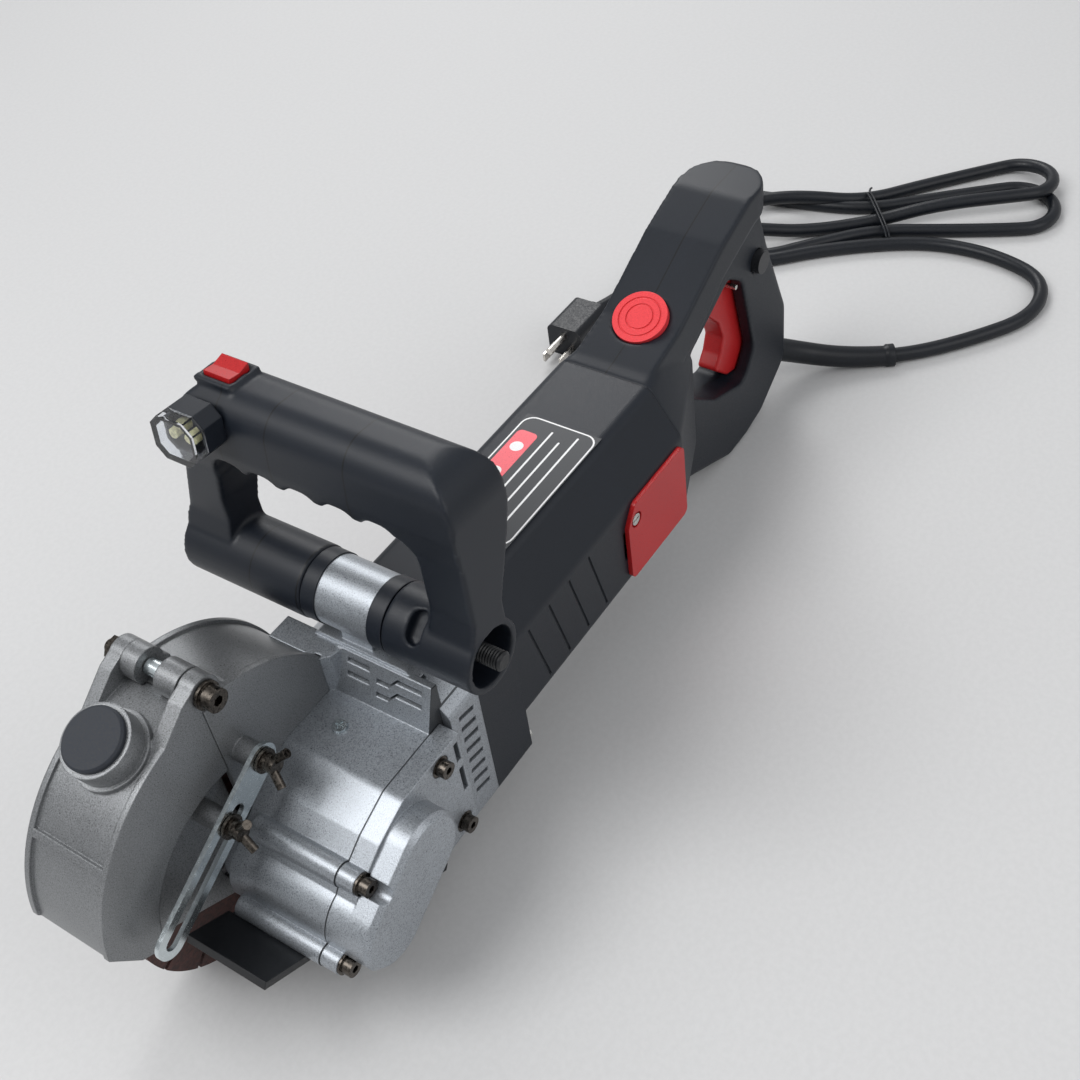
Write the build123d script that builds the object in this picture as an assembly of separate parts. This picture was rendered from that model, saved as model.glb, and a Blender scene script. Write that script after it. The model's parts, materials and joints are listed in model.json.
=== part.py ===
from build123d import *
import math
import os

# Wall chaser: a hand-held saw with five diamond blades that cuts a channel in masonry.
# Millimetres. X points to the rear handle, Y to the operator's right, Z up.
# While modelling, the origin is the centre of the round blade guard. Every node is moved by
# FRAME when it is written, so that the tool stands on Z = 0, centred in X and Y.

# ---- driving dimensions ----
GUARD_R = 82.0
GUARD_NEAR = -5.0
GUARD_FAR = 42.0
GUARD_WALL = 3.0
SEAM_X = 4.0
SEAM_GAP = 0.4
SOLE_ANGLE = 30.5
SOLE_START = 84.5
RECESS_X, RECESS_Z, RECESS_R = -3.0, -15.0, 55.0
HINGE_X, HINGE_Z = 8.0, 88.0
HINGE_BOLT_R = 3.0
PORT_ANGLE = 110.0
PORT_Y = 18.0
PORT_R = 16.5
PORT_BORE = 13.5
PORT_TOP = 95.0
PORT_SHOULDER = 84.0
STRUT_X, STRUT_Z = 14.0, 43.0
STRUT_END_X, STRUT_END_Z = -61.0, 2.0
STUD_X, STUD_Z = -13.5, 28.6
STRUT_NEAR, STRUT_FAR = -17.6, -15.3

SPINDLE_X, SPINDLE_Z = 2.0, -22.0
BLADE_R = 66.5
BLADE_COUNT = 5
BLADE_T = 2.2
BLADE_FIRST = 8.5
BLADE_PITCH = 5.2
ARBOR_R = 11.1
INTER_X, INTER_Z = 31.0, -4.0
MOTOR_Y, MOTOR_Z = -21.0, -4.0
CASE_SEAM = -62.0
COVER_FACE = -73.0
FLANGE_X0, FLANGE_X1 = 80.0, 101.0
MOTOR_END = 292.0
MOTOR_WALL = 3.0

AUX_X, AUX_Z = 94.0, 67.0
AUX_NEAR, AUX_FAR = -88.0, 78.0
AUX_LEAN = 6.3
STUD_R = 5.0
STUD_END_R = 4.8

TONGUE_HALF = 24.0
TONGUE_END = 421.0
POST_HALF = 16.0
POST_EDGE = 4.0
CORD_R = 4.75
FLOOR = -88.5
FRAME = (-195.56, 8.0, 88.5)

FIT = 0.05


# ---- shape helpers ----
def prism_y(face, near, far):
    """A flat outline in X and Z, made solid from Y = near to Y = far."""
    plane = Plane(origin=(0, far, 0), x_dir=(1, 0, 0), z_dir=(0, -1, 0))
    return extrude(plane * face, far - near, dir=plane.z_dir)


def prism_x(face, front, rear):
    """A flat outline in Y and Z, made solid from X = front to X = rear."""
    plane = Plane(origin=(front, 0, 0), x_dir=(0, 1, 0), z_dir=(1, 0, 0))
    return extrude(plane * face, rear - front, dir=plane.z_dir)


def rod_y(x, z, radius, near, far):
    return prism_y(Pos(x, z) * Circle(radius), near, far)


def rod_x(y, z, radius, front, rear):
    return prism_x(Pos(y, z) * Circle(radius), front, rear)


def ring_y(x, z, outer, inner, near, far):
    return rod_y(x, z, outer, near, far) - rod_y(x, z, inner, near - 1, far + 1)


def ring_x(y, z, outer, inner, front, rear):
    return rod_x(y, z, outer, front, rear) - rod_x(y, z, inner, front - 1, rear + 1)


def block(x0, x1, y0, y1, z0, z1):
    middle = ((x0 + x1) / 2, (y0 + y1) / 2, (z0 + z1) / 2)
    return Pos(*middle) * Box(x1 - x0, y1 - y0, z1 - z0)


def outline(points):
    return Polygon(*points, align=None)


def prism_z(points, low, high):
    """A closed line of points in X and Y, made solid from Z = low to Z = high."""
    return extrude(Plane.XY.offset(low) * outline(points), high - low, dir=(0, 0, 1))


def rounded(points, radius):
    """A closed outline through the points with rounded corners."""
    return make_face(FilletPolyline(*points, radius=radius, close=True))


def polar(radius, degrees, x=0.0, z=0.0):
    angle = math.radians(degrees)
    return (x + radius * math.cos(angle), z + radius * math.sin(angle))


def joined(shapes):
    """Separate solids kept in one node."""
    return Compound(children=list(shapes))


def hex_socket_bolt(x, z, near, far, shank=2.4, head=4.2, socket=2.0):
    """A cap screw along Y with its head at the near end."""
    body = rod_y(x, z, head, near, near + 5) + rod_y(x, z, shank, near + 5, far)
    recess = prism_y(Pos(x, z) * RegularPolygon(socket, 6), near - 1, near + 2.5)
    washer = rod_y(x, z, head + 1.2, near + 5, near + 6.2)
    return body + washer - recess


def sole_z(x):
    return -math.tan(math.radians(SOLE_ANGLE)) * (x + SOLE_START)


def under_sole():
    corners = [(-200, sole_z(-200)), (200, sole_z(200)), (200, -400), (-200, -400)]
    return prism_y(outline(corners), -90, 90)


# ---- blade guard ----
def guard_drum():
    outer = rod_y(0, 0, GUARD_R, GUARD_NEAR, GUARD_FAR)
    inner = rod_y(0, 0, GUARD_R - GUARD_WALL, GUARD_NEAR + GUARD_WALL, GUARD_FAR - GUARD_WALL)
    drum = outer - inner
    for near in (GUARD_NEAR, GUARD_FAR - 3):
        drum += ring_y(0, 0, GUARD_R + 1.5, GUARD_R - 1, near, near + 3)
    return drum


def hinge_disc(near, far, radius=8.5):
    return rod_y(HINGE_X, HINGE_Z, radius, near, far)


def hinge_ear(near, far):
    web = outline([(8, 96.5), (-4, 92), (-26, 76), (-22, 74), (-1, 80), (5, 80.5)])
    return prism_y(web, near, far) + hinge_disc(near, far)


def port_plane():
    """The plane through the guard's axis that faces out of the dust port."""
    angle = math.radians(PORT_ANGLE)
    return Plane(origin=(0, PORT_Y, 0), x_dir=(0, 1, 0), z_dir=(math.cos(angle), 0, math.sin(angle)))


FRONT_CORNER = [(-100, 14), (-83.5, 11), (-66, -15), (-66, -60), (-100, -60)]


def front_guard():
    left = block(-120, SEAM_X - SEAM_GAP, -60, 60, -150, 100)
    guard = guard_drum()
    guard += rod_y(RECESS_X, RECESS_Z, RECESS_R + 3, GUARD_NEAR, 6)
    guard -= rod_y(RECESS_X, RECESS_Z, RECESS_R, GUARD_NEAR - 5, 3)
    guard = (guard & left) - under_sole()
    nose_notch = rod_y(SPINDLE_X, SPINDLE_Z, 17.5, -20, 7)
    nose_notch += block(SPINDLE_X, 20, -20, 7, SPINDLE_Z - 17.5, SPINDLE_Z + 17.5)
    guard -= nose_notch
    guard -= prism_y(outline(FRONT_CORNER), -10, 60)
    for near, far in ((3.6, 16.4), (26.6, 36.4)):
        guard -= hinge_disc(near, far, 9.0)
    for near, far in ((-5, 3), (36, 43)):
        guard += hinge_ear(near, far)
    rib = Pos(GUARD_R, 0, 0) * Box(3, GUARD_FAR - GUARD_NEAR - 6, 4)
    guard += Pos(0, (GUARD_NEAR + GUARD_FAR) / 2, 0) * Rot(0, -142, 0) * rib
    tangent = port_plane()
    tube = extrude(tangent.offset(70) * Circle(PORT_R), PORT_TOP - 70)
    tube += extrude(tangent.offset(70) * Circle(PORT_R + 1.8), PORT_SHOULDER - 70)
    tube -= extrude(tangent.offset(PORT_SHOULDER) * (Circle(PORT_R + 0.1) - Circle(PORT_R - 0.4)), 0.5)
    tube -= rod_y(0, 0, GUARD_R - GUARD_WALL, GUARD_NEAR, GUARD_FAR)
    guard += tube
    guard -= extrude(tangent.offset(70) * Circle(PORT_BORE), 60)
    guard += rod_y(STUD_X, STUD_Z, 5.5, -15, 4)
    guard -= rod_y(STUD_X, STUD_Z, 1.6, -16, 2)
    guard -= rod_y(HINGE_X, HINGE_Z, HINGE_BOLT_R + FIT, -40, 60)
    return guard


def dust_port_plug():
    tangent = port_plane()
    head = extrude(tangent.offset(PORT_TOP) * Circle(PORT_R - 2.1), 3.0)
    head = chamfer(head.edges().sort_by(lambda e: e.center().dot(tangent.z_dir))[-1:], 1.0)
    stem = extrude(tangent.offset(PORT_TOP - 12) * Circle(PORT_BORE), 12)
    return head + stem


def fixed_guard():
    right = block(SEAM_X, 120, -60, 60, -150, 100)
    guard = guard_drum() & right
    far_down = polar(140, -35)
    open_rim = outline([polar(70, -35), far_down, (140, -140), (0, -140), polar(70, -88)])
    rim_gap = prism_y(open_rim, GUARD_NEAR + 3, GUARD_FAR - 3)
    guard -= rim_gap
    trimmed = prism_y(outline([polar(74, -35), far_down, (140, -140), polar(74, -88)]), -60, 60)
    guard -= trimmed
    guard -= under_sole()
    guard -= rod_y(SPINDLE_X, SPINDLE_Z, 16 + FIT, -20, 7)
    for near, far in ((-5.6, 3.4), (35.6, 43.6)):
        guard -= hinge_disc(near, far, 9.0)
    for near, far in ((4, 16), (27, 36)):
        foot = prism_y(outline([(8, 96), (19, 84), (19, 78), (SEAM_X, 79.5), (SEAM_X, 88)]), near, far)
        guard += foot + hinge_disc(near, far)
    guard += block(20, 22, -5, 14, 70, 80.2)
    guard += rod_y(STRUT_X, STRUT_Z, 6.0, -15, -4)
    guard -= rod_y(STRUT_X, STRUT_Z, 2.0, -16, -4)
    guard -= rod_y(HINGE_X, HINGE_Z, HINGE_BOLT_R + FIT, -40, 60)
    return guard


def hinge_bolt():
    bolt = rod_y(HINGE_X, HINGE_Z, HINGE_BOLT_R, -7, 51) + rod_y(HINGE_X, HINGE_Z, 5.6, -13, -7)
    bolt += rod_y(HINGE_X, HINGE_Z, 6.8, -7, -5.5)
    return bolt - prism_y(Pos(HINGE_X, HINGE_Z) * RegularPolygon(2.6, 6), -14, -9.5)


def hinge_nut():
    nut = prism_y(Pos(HINGE_X, HINGE_Z) * RegularPolygon(5.8, 6), 43.8, 48.6)
    return nut - rod_y(HINGE_X, HINGE_Z, HINGE_BOLT_R, 40, 60)


def depth_strut():
    length = math.dist((STRUT_X, STRUT_Z), (STRUT_END_X, STRUT_END_Z))
    tilt = math.degrees(math.atan2(STRUT_END_Z - STRUT_Z, STRUT_END_X - STRUT_X))
    bar = Pos(length / 2, 0) * SlotCenterToCenter(length, 16)
    slot = Pos((24 + length) / 2, 0) * SlotCenterToCenter(length - 24, 7.0)
    plate = Pos(STRUT_X, STRUT_Z) * Rot(0, 0, tilt) * (bar - slot)
    strut = prism_y(plate, STRUT_NEAR, STRUT_FAR)
    return strut - rod_y(STRUT_X, STRUT_Z, 2.0 + FIT, -20, -14)


def wing_bolt(x, z, shank, tilt):
    """A wing bolt along Y: washer, hub, and two ears that lean outwards."""
    bolt = rod_y(x, z, shank, -18, -6) + rod_y(x, z, 6.0, -19.2, STRUT_NEAR - 0.3)
    bolt += rod_y(x, z, 4.2, -25.5, -19.2)
    bolt = bolt.clean()
    across = math.radians(tilt)
    for side in (-1, 1):
        lean = (side * math.cos(across), -1, side * math.sin(across))
        ear = Plane(origin=(x, -21, z), z_dir=lean)
        bolt += extrude(ear * Circle(2.2), 12.5)
    return bolt


# ---- blades and spindle ----
def blade_y(index):
    return BLADE_FIRST + index * BLADE_PITCH


def diamond_blade(near):
    disc = rod_y(SPINDLE_X, SPINDLE_Z, BLADE_R, near, near + BLADE_T)
    disc -= rod_y(SPINDLE_X, SPINDLE_Z, ARBOR_R, near - 1, near + BLADE_T + 1)
    slots = []
    for index in range(16):
        slot = Pos(BLADE_R - 4, 0, 0) * Box(12, BLADE_T * 3, 2.2)
        slots.append(Pos(SPINDLE_X, near, SPINDLE_Z) * Rot(0, index * 22.5, 0) * slot)
    return disc - slots


def saw_blades():
    return joined(diamond_blade(blade_y(index)) for index in range(BLADE_COUNT))


def blade_spacers():
    rings = []
    for index in range(BLADE_COUNT - 1):
        near = blade_y(index) + BLADE_T
        rings.append(ring_y(SPINDLE_X, SPINDLE_Z, 19, ARBOR_R, near, blade_y(index + 1)))
    return joined(rings)


def blade_flanges():
    """The two discs that clamp the stack of blades."""
    last = blade_y(BLADE_COUNT - 1) + BLADE_T
    return joined([ring_y(SPINDLE_X, SPINDLE_Z, 20, 9.0, 6.4, BLADE_FIRST),
                   ring_y(SPINDLE_X, SPINDLE_Z, 20, 8.0, last, last + 2.5)])


def spindle_nut():
    last = blade_y(BLADE_COUNT - 1) + BLADE_T + 2.5
    return prism_y(Pos(SPINDLE_X, SPINDLE_Z) * (RegularPolygon(12.5, 6) - Circle(8.0)), last, last + 4.5)


def spindle():
    last = blade_y(BLADE_COUNT - 1) + BLADE_T
    shaft = rod_y(SPINDLE_X, SPINDLE_Z, 6.0, -80, -66) + rod_y(SPINDLE_X, SPINDLE_Z, 7.5, -66, -7)
    shaft += rod_y(SPINDLE_X, SPINDLE_Z, 9.0, -7, BLADE_FIRST)
    shaft += rod_y(SPINDLE_X, SPINDLE_Z, ARBOR_R, BLADE_FIRST, last - 0.5)
    return shaft + rod_y(SPINDLE_X, SPINDLE_Z, 8.0, last - 0.5, last + 7.5)


def toothed_face(teeth, tip, root, phase=0.0):
    """A straight-flanked gear outline with the given number of teeth."""
    points = []
    step = 360 / teeth
    for index in range(teeth):
        start = phase + index * step
        points.append(polar(root, start - 0.30 * step))
        points.append(polar(tip, start - 0.13 * step))
        points.append(polar(tip, start + 0.13 * step))
        points.append(polar(root, start + 0.30 * step))
    return outline(points)


SPUR_TEETH = (18, 16)
CROWN_TEETH = (9, 23)
SPUR_CENTRES = math.dist((INTER_X, INTER_Z), (SPINDLE_X, SPINDLE_Z))
SPUR_MODULE = 2 * SPUR_CENTRES / sum(SPUR_TEETH)
GEAR_LINE = math.degrees(math.atan2(SPINDLE_Z - INTER_Z, SPINDLE_X - INTER_X))


def spur_gear(x, z, teeth, phase, bore, near, far):
    pitch_r = SPUR_MODULE * teeth / 2
    face = toothed_face(teeth, pitch_r + 0.75 * SPUR_MODULE, pitch_r - 1.1 * SPUR_MODULE, phase)
    return prism_y(Pos(x, z) * (face - Circle(bore)), near, far)


def spindle_gear():
    phase = GEAR_LINE + 180 + 180 / SPUR_TEETH[1]
    return spur_gear(SPINDLE_X, SPINDLE_Z, SPUR_TEETH[1], phase, 7.5, -59, -49)


def intermediate_gear():
    return spur_gear(INTER_X, INTER_Z, SPUR_TEETH[0], GEAR_LINE, 5.5, -60, -48)


def intermediate_shaft():
    shaft = rod_y(INTER_X, INTER_Z, 5.5, -68, -17)
    return shaft + rod_y(INTER_X, INTER_Z, 4.5, -80, -68)


def crown_gear():
    """The crown wheel on the intermediate shaft, with its teeth towards +Y."""
    root = MOTOR_Y - 7.2
    wheel = rod_y(INTER_X, INTER_Z, 18, root - 4, root) + rod_y(INTER_X, INTER_Z, 11, root - 9, root - 4)
    teeth = []
    step = 360 / CROWN_TEETH[1]
    for index in range(CROWN_TEETH[1]):
        tooth = Pos(15, root + 1.05, 0) * Box(4.0, 2.1, 1.5)
        teeth.append(Pos(INTER_X, 0, INTER_Z) * Rot(0, (index + 0.5) * step, 0) * tooth)
    return (wheel + teeth) - rod_y(INTER_X, INTER_Z, 5.5, root - 20, root + 20)


def armature_shaft():
    shaft = rod_x(MOTOR_Y, MOTOR_Z, 5.0, 62, 100) + rod_x(MOTOR_Y, MOTOR_Z, 6.0, 100, 283)
    return shaft + rod_x(MOTOR_Y, MOTOR_Z, 4.5, 283, 298)


def motor_pinion():
    plane = Plane(origin=(0, 0, 0), x_dir=(0, 1, 0), z_dir=(1, 0, 0))
    face = toothed_face(CROWN_TEETH[0], 6.7, 4.5, 180)
    pinion = extrude(plane.offset(44.5) * (Pos(MOTOR_Y, MOTOR_Z) * face), 5.5, dir=(1, 0, 0))
    pinion += rod_x(MOTOR_Y, MOTOR_Z, 8.0, 50, 74)
    return pinion - rod_x(MOTOR_Y, MOTOR_Z, 5.0, 62, 80)


def bearing_y(x, z, outer, inner, near, far):
    """A ball bearing along Y: two races with a shielded ball track between them."""
    middle = (outer + inner) / 2
    races = ring_y(x, z, outer, inner, near, far)
    for face in (near, far):
        races -= ring_y(x, z, middle + 1.2, middle - 1.2, face - 0.6, face + 0.6)
    return races


def gearbox_bearings():
    return joined([bearing_y(SPINDLE_X, SPINDLE_Z, 12.5, 9.0, -7, 1),
                   bearing_y(SPINDLE_X, SPINDLE_Z, 12.0, 6.0, -80, -73),
                   bearing_y(INTER_X, INTER_Z, 11.0, 4.5, -80, -73),
                   bearing_y(INTER_X, INTER_Z, 10.0, 5.5, -20, -13)])


def motor_bearings():
    return joined([ring_x(MOTOR_Y, MOTOR_Z, 13, 5.0, 78, 88),
                   ring_x(MOTOR_Y, MOTOR_Z, 10, 4.5, 286, 294)])


# ---- gearbox ----
CASE_OUTLINE = [(80, 23), (36, 23), (16.5, 14.5), (-3.5, 0.5), (-21, -25.5), (-14, -36),
                (5, -43), (40, -43), (72, -42), (80, -36)]
BARREL_R = 21.0
CASE_BOLTS = [(62, 16), (1.7, 4.0), (-20.5, -29.5), (68, -35)]
FLANGE_SECTION = [(-46, -54), (-46, 26), (-26, 48), (26, 48), (46, 26), (46, -54), (38, -60), (-38, -60)]


def case_face(shrink=0.0):
    face = rounded(CASE_OUTLINE, [2, 8, 6, 14, 9, 4, 6, 4, 4, 2])
    face = offset(face, -shrink) if shrink else face
    return face + Pos(SPINDLE_X, SPINDLE_Z) * Circle(BARREL_R - shrink)


def shifted(section, centre):
    return [(y + centre, z) for y, z in section]


def flange_face(shrink=0.0):
    face = rounded(shifted(FLANGE_SECTION, MOTOR_Y), 4)
    return offset(face, -shrink) if shrink else face


def gear_housing():
    body = prism_y(case_face(), CASE_SEAM, GUARD_NEAR - 0.5)
    body += prism_y(case_face(), -6, GUARD_NEAR) & block(7, 80, -6, GUARD_NEAR, -60, 30)
    for x, z in CASE_BOLTS[1:]:
        body += rod_y(x, z, 6.2, CASE_SEAM, -12)
    body += prism_y(outline([(70, 22), (82, 22), (82, 46), (78.5, 46.5)]), CASE_SEAM, -8)
    body += prism_z([(82, -12), (72, -9), (60, 3), (56, 25), (82, 25)], 20, 46)
    body += prism_x(flange_face(), FLANGE_X0, FLANGE_X1)
    body -= rod_y(0, 0, GUARD_R + FIT, GUARD_NEAR, 60)
    body -= rod_y(0, 0, GUARD_R + 2, GUARD_NEAR, GUARD_NEAR + 3.5)
    inner = prism_y(case_face(3.0), CASE_SEAM - 1, -9) & block(-30, 74, -70, 0, -60, 30)
    body -= inner
    body -= prism_x(flange_face(3.5), FLANGE_X0 + 5, FLANGE_X1 + 1)
    body += ring_x(MOTOR_Y, MOTOR_Z, 15.9, 13, 74, 90)
    body -= rod_x(MOTOR_Y, MOTOR_Z, 13, 78, 100)
    body -= rod_x(MOTOR_Y, MOTOR_Z, 10, 60, 79)
    body += rod_y(SPINDLE_X, SPINDLE_Z, 16, -12, 2.6)
    body -= rod_y(SPINDLE_X, SPINDLE_Z, 12.5, -7, 10)
    body -= rod_y(SPINDLE_X, SPINDLE_Z, 8.0, -20, 0)
    body += rod_y(INTER_X, INTER_Z, 13, -21, -8)
    body -= rod_y(INTER_X, INTER_Z, 10, -25, -13)
    body += saddle()
    body -= flange_vents()
    for x, z in CASE_BOLTS:
        body += rod_y(x, z, 3.6, CASE_SEAM, -44)
        if z != CASE_BOLTS[1][1]:
            body += block(x - 3.6, x + 3.6, CASE_SEAM, -44, *sorted((z, z + math.copysign(5, z))))
        body -= rod_y(x, z, 2.4, CASE_SEAM - 1, -44)
    body -= Pos(54, -23, 23) * Cylinder(3.6, 3.0)
    return body


def saddle():
    """The cast post and hub that carry the auxiliary handle."""
    post = prism_y(outline([(82, 44), (101, 44), (101, 60), (108, 67), (80, 67), (84, 58)]), -26, -8)
    hub = rod_y(AUX_X, AUX_Z, 17, -32, -2)
    return post + hub - rod_y(AUX_X, AUX_Z, STUD_R, -40, 10)


def flange_vents():
    """Cooling-air slots: eight on each side wall and four in the front wall."""
    cuts = []
    for index in range(8):
        height = 18 - index * 8
        slot = Pos(91, 0, height) * Rot(0, 12, 0) * Box(11, 12, 3.0)
        cuts.append(Pos(0, MOTOR_Y - 46, 0) * slot)
        cuts.append(Pos(0, MOTOR_Y + 46, 0) * slot)
    for height in (40.5, 33.5):
        cuts.append(block(68, 86, -27, -14, height, height + 2.6))
        wave = [(-31, 0), (-38, 0), (-42, 4), (-57, 4), (-57, 6.6), (-43, 6.6), (-39, 2.6), (-31, 2.6)]
        cuts.append(prism_x(outline([(y, z + height - 4) for y, z in wave]), 68, 86))
    return cuts


def gear_cover():
    plate = prism_y(case_face(), COVER_FACE, CASE_SEAM - 0.0)
    plate -= block(77.5, 82, -80, -60, -60, 30)
    racetrack = hull_slot(21.0)
    bump = prism_y(racetrack, -86, COVER_FACE)
    bump = chamfer(bump.faces().sort_by(Axis.Y)[0].edges(), 2.5)
    cover = plate + bump
    for x, z in CASE_BOLTS:
        cover -= rod_y(x, z, 5.6, COVER_FACE - 0.5, COVER_FACE + 1.5)
        cover -= rod_y(x, z, 4.6, -90, COVER_FACE)
    cover -= prism_y(case_face(3.0), COVER_FACE + 4, CASE_SEAM + 1)
    cover -= prism_y(hull_slot(16.0), -81, COVER_FACE + 5)
    for x, z, outer in ((SPINDLE_X, SPINDLE_Z, 12.0), (INTER_X, INTER_Z, 11.0)):
        cover += ring_y(x, z, outer + 2.5, outer, -82, -73)
    for x, z in CASE_BOLTS:
        cover += rod_y(x, z, 5.8, COVER_FACE + 1.5, CASE_SEAM)
        cover -= rod_y(x, z, 2.4, -90, -50)
    for z0, z1 in ((6, 19), (-16, 1)):
        cover -= block(72.5, 75.5, -80, -66, z0, z1)
    return cover


def hull_slot(radius):
    """A stadium round the spindle and the intermediate shaft."""
    length = SPUR_CENTRES
    slot = SlotCenterToCenter(length, 2 * radius)
    middle = ((SPINDLE_X + INTER_X) / 2, (SPINDLE_Z + INTER_Z) / 2)
    return Pos(*middle) * Rot(0, 0, GEAR_LINE) * slot


def gear_cover_bolts():
    return joined(hex_socket_bolt(x, z, -77.7, -45) for x, z in CASE_BOLTS)


def oil_plug_screw():
    """A cross-head screw in the flat top of the gearbox."""
    screw = Pos(54, -23, 23.2) * Cylinder(3.6, 2.6)
    for width, depth in ((4.4, 1.0), (1.0, 4.4)):
        screw -= Pos(54, -23, 24.3) * Box(width, depth, 1.4)
    return screw


# ---- base plate ----
def base_plate():
    low, rear = 88.5, 64.5
    front = -51
    slope = math.radians(SOLE_ANGLE)
    thickness = 4.0
    down = (-math.sin(slope) * thickness, -math.cos(slope) * thickness)
    rear_z = -low
    length = (rear - front) / math.cos(slope)
    start = (rear - length * math.cos(slope), rear_z + length * math.sin(slope))
    end = (rear, rear_z)
    corners = [start, end, (end[0] - down[0], end[1] - down[1]), (start[0] - down[0], start[1] - down[1])]
    plate = prism_y(outline(corners), -54, -8)
    bracket = prism_y(outline([(22, -42.6), (48, -42.6), (48, -70), (22, -56)]), -52, -14)
    plate = (plate + bracket) - prism_y(case_face(-0.05), -70, 0)
    return plate - rod_y(*CASE_BOLTS[2], 6.3, -70, 0)


def base_plate_screws():
    screws = []
    for x, y in ((35, -22), (35, -44)):
        screws.append(Pos(x, y, -36.5) * Cylinder(2.5, 15))
    return joined(screws)


# ---- auxiliary handle ----
AUX_SIDE = [(78, 60), (84, 92), (80, 126), (77, 140), (77, 168.5), (111, 168.5), (114, 140),
            (112, 126), (104, 92), (110, 60)]
AUX_FRONT = [(AUX_NEAR, 40), (AUX_NEAR, 168.5), (56, 168.5), (60, 146), (AUX_FAR, 84), (AUX_FAR, 56),
             (62, 40)]
AUX_OPENING = [(-64, 40), (-64, 131), (44, 131), (50, 104), (50, 40)]
AUX_OPENING_RADII = [1, 12, 10, 20, 1]
AUX_FRONT_RADII = [2, 22, 16, 30, 12, 8, 4]


def aux_lean(shape):
    return Pos(AUX_X, 0, AUX_Z) * Rot(0, AUX_LEAN, 0) * Pos(-AUX_X, 0, -AUX_Z) * shape


def aux_handle():
    side = rounded(AUX_SIDE, [3, 10, 20, 10, 14, 14, 12, 20, 10, 3])
    front = rounded(AUX_FRONT, AUX_FRONT_RADII)
    handle = prism_y(side, AUX_NEAR, AUX_FAR) & prism_x(front, 60, 130)
    handle -= prism_x(rounded(AUX_OPENING, AUX_OPENING_RADII), 50, 140)
    for centre in (-46, -25, -4, 17, 36):
        handle -= prism_x(Pos(centre, 124.5) * Circle(10.5), 50, 140)
    near_hub = rod_y(AUX_X, AUX_Z, 18, AUX_NEAR, -40.4)
    far_hub = rod_y(AUX_X, AUX_Z, 18, 6.4, AUX_FAR)
    handle += near_hub
    handle += far_hub
    cut_line = outline([(70, 40), (130, 40), (130, 50), (70, 50)])
    handle -= prism_y(cut_line, -100, 90) - rod_y(AUX_X, AUX_Z, 18.1, -100, 90)
    handle += block(85, 105, 31.5, 52.5, 168, 170.5)
    handle -= block(88.5, 101.5, 34, 50, 166, 173)
    handle -= rod_y(AUX_X, AUX_Z, 14.5, -100, -66)
    handle -= rod_y(AUX_X, AUX_Z, STUD_R + FIT, -100, 90)
    handle -= rod_y(AUX_X, AUX_Z, 12, 70, 90)
    handle -= rod_y(*ROCKER_PIVOT, 1.0 + FIT, 33, 51)
    pocket = extrude(Plane.XY.offset(12) * Pos(0, -57) * SlotOverall(16, 8), 8)
    handle -= Pos(AUX_X, 0, AUX_Z) * Rot(0, -44, 0) * pocket
    return aux_lean(handle)


def index_rings():
    """Black rings with a toothed edge that lock the handle's angle."""
    rings = []
    for near, far in ((-40.0, -32.0), (-2.0, 6.0)):
        ring = ring_y(AUX_X, AUX_Z, 17.5, STUD_R, near, far)
        rings.append(ring)
    return joined(rings)


def clamp_stud():
    return rod_y(AUX_X, AUX_Z, STUD_R, -73, 76) + rod_y(AUX_X, AUX_Z, STUD_END_R, -94, -73)


def clamp_nuts():
    near = prism_y(Pos(AUX_X, AUX_Z) * (RegularPolygon(9.0, 6) - Circle(STUD_R)), -73, -66.3)
    far = prism_y(Pos(AUX_X, AUX_Z) * (RegularPolygon(9.0, 6) - Circle(STUD_R)), 70.3, 75)
    return joined([near, far])


LAMP_X, LAMP_Y, LAMP_Z = 66.0, 42.0, 156.0


def octagon_yz(width, height, cut):
    w, h = width / 2, height / 2
    points = [(-w, -h + cut), (-w + cut, -h), (w - cut, -h), (w, -h + cut),
              (w, h - cut), (w - cut, h), (-w + cut, h), (-w, h - cut)]
    return outline([(LAMP_Y + y, LAMP_Z + z) for y, z in points])


def lamp_housing():
    body = prism_x(octagon_yz(24, 22, 5), LAMP_X, 77)
    return aux_lean(body - prism_x(octagon_yz(18, 16, 4), LAMP_X - 1, LAMP_X + 6))


def lamp_lens():
    shell = prism_x(octagon_yz(24, 22, 5), LAMP_X - 7, LAMP_X)
    return aux_lean(shell - prism_x(octagon_yz(19, 17, 4), LAMP_X - 5, LAMP_X + 1))


def lamp_leds():
    leds = []
    for y in (-4.5, 4.5):
        leds.append(rod_x(LAMP_Y + y, LAMP_Z, 2.5, LAMP_X - 1.5, LAMP_X + 6))
    return aux_lean(joined(leds))


ROCKER_PIVOT = (95.0, 168.5)


def lamp_rocker():
    face = outline([(89, 167), (101, 167), (101, 173.4), (95, 171.4), (89, 171.9)])
    return aux_lean(prism_y(face, 34.5, 49.5) + rod_y(*ROCKER_PIVOT, 1.0, 33.2, 50.8))


# ---- motor ----
MOTOR_SECTION = [(-45, -28), (-45, 24), (-27, 52), (27, 52), (45, 24), (45, -28), (27, -54), (-27, -54)]


def motor_face(shrink=0.0):
    face = rounded(shifted(MOTOR_SECTION, MOTOR_Y), 7)
    return offset(face, -shrink) if shrink else face


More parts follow.
